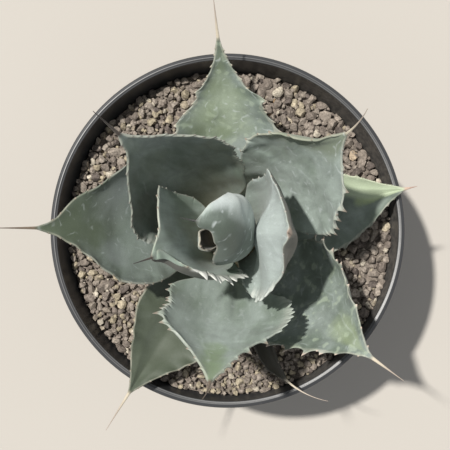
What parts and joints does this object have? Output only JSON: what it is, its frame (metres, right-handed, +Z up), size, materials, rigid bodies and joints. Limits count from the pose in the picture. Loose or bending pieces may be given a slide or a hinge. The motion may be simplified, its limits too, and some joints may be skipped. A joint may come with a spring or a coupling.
{
  "type": "potted cabbage head agave",
  "caption": "Broad-leaved rosette succulent with toothed, spine-tipped leaves, growing from gravel in a round tapered plastic pot.",
  "frame": {"origin": "centre of the pot's flat base, on the ground", "axes": "+Z up along the pot's axis; +X to the right and +Y to the top of the picture, which looks straight down"},
  "size_m": [0.1971, 0.2056, 0.2511],
  "materials": {
    "pot": "satin charcoal plastic",
    "soil": "damp crumbly potting soil",
    "gravel": "dull grey-beige grains",
    "stem": "pale fibrous tissue",
    "leaf": "waxy grey-green skin with a pale bloom"
  },
  "bodies": {
    "root": {"pot": "pot", "soil": "soil", "gravel": "gravel", "stem": "stem", "leaf_01": "leaf", "leaf_02": "leaf", "leaf_03": "leaf", "leaf_04": "leaf", "leaf_05": "leaf", "leaf_06": "leaf", "leaf_07": "leaf", "leaf_08": "leaf", "leaf_09": "leaf", "leaf_10": "leaf", "leaf_11": "leaf", "leaf_12": "leaf", "leaf_13": "leaf", "leaf_14": "leaf"}
  },
  "joints": []
}
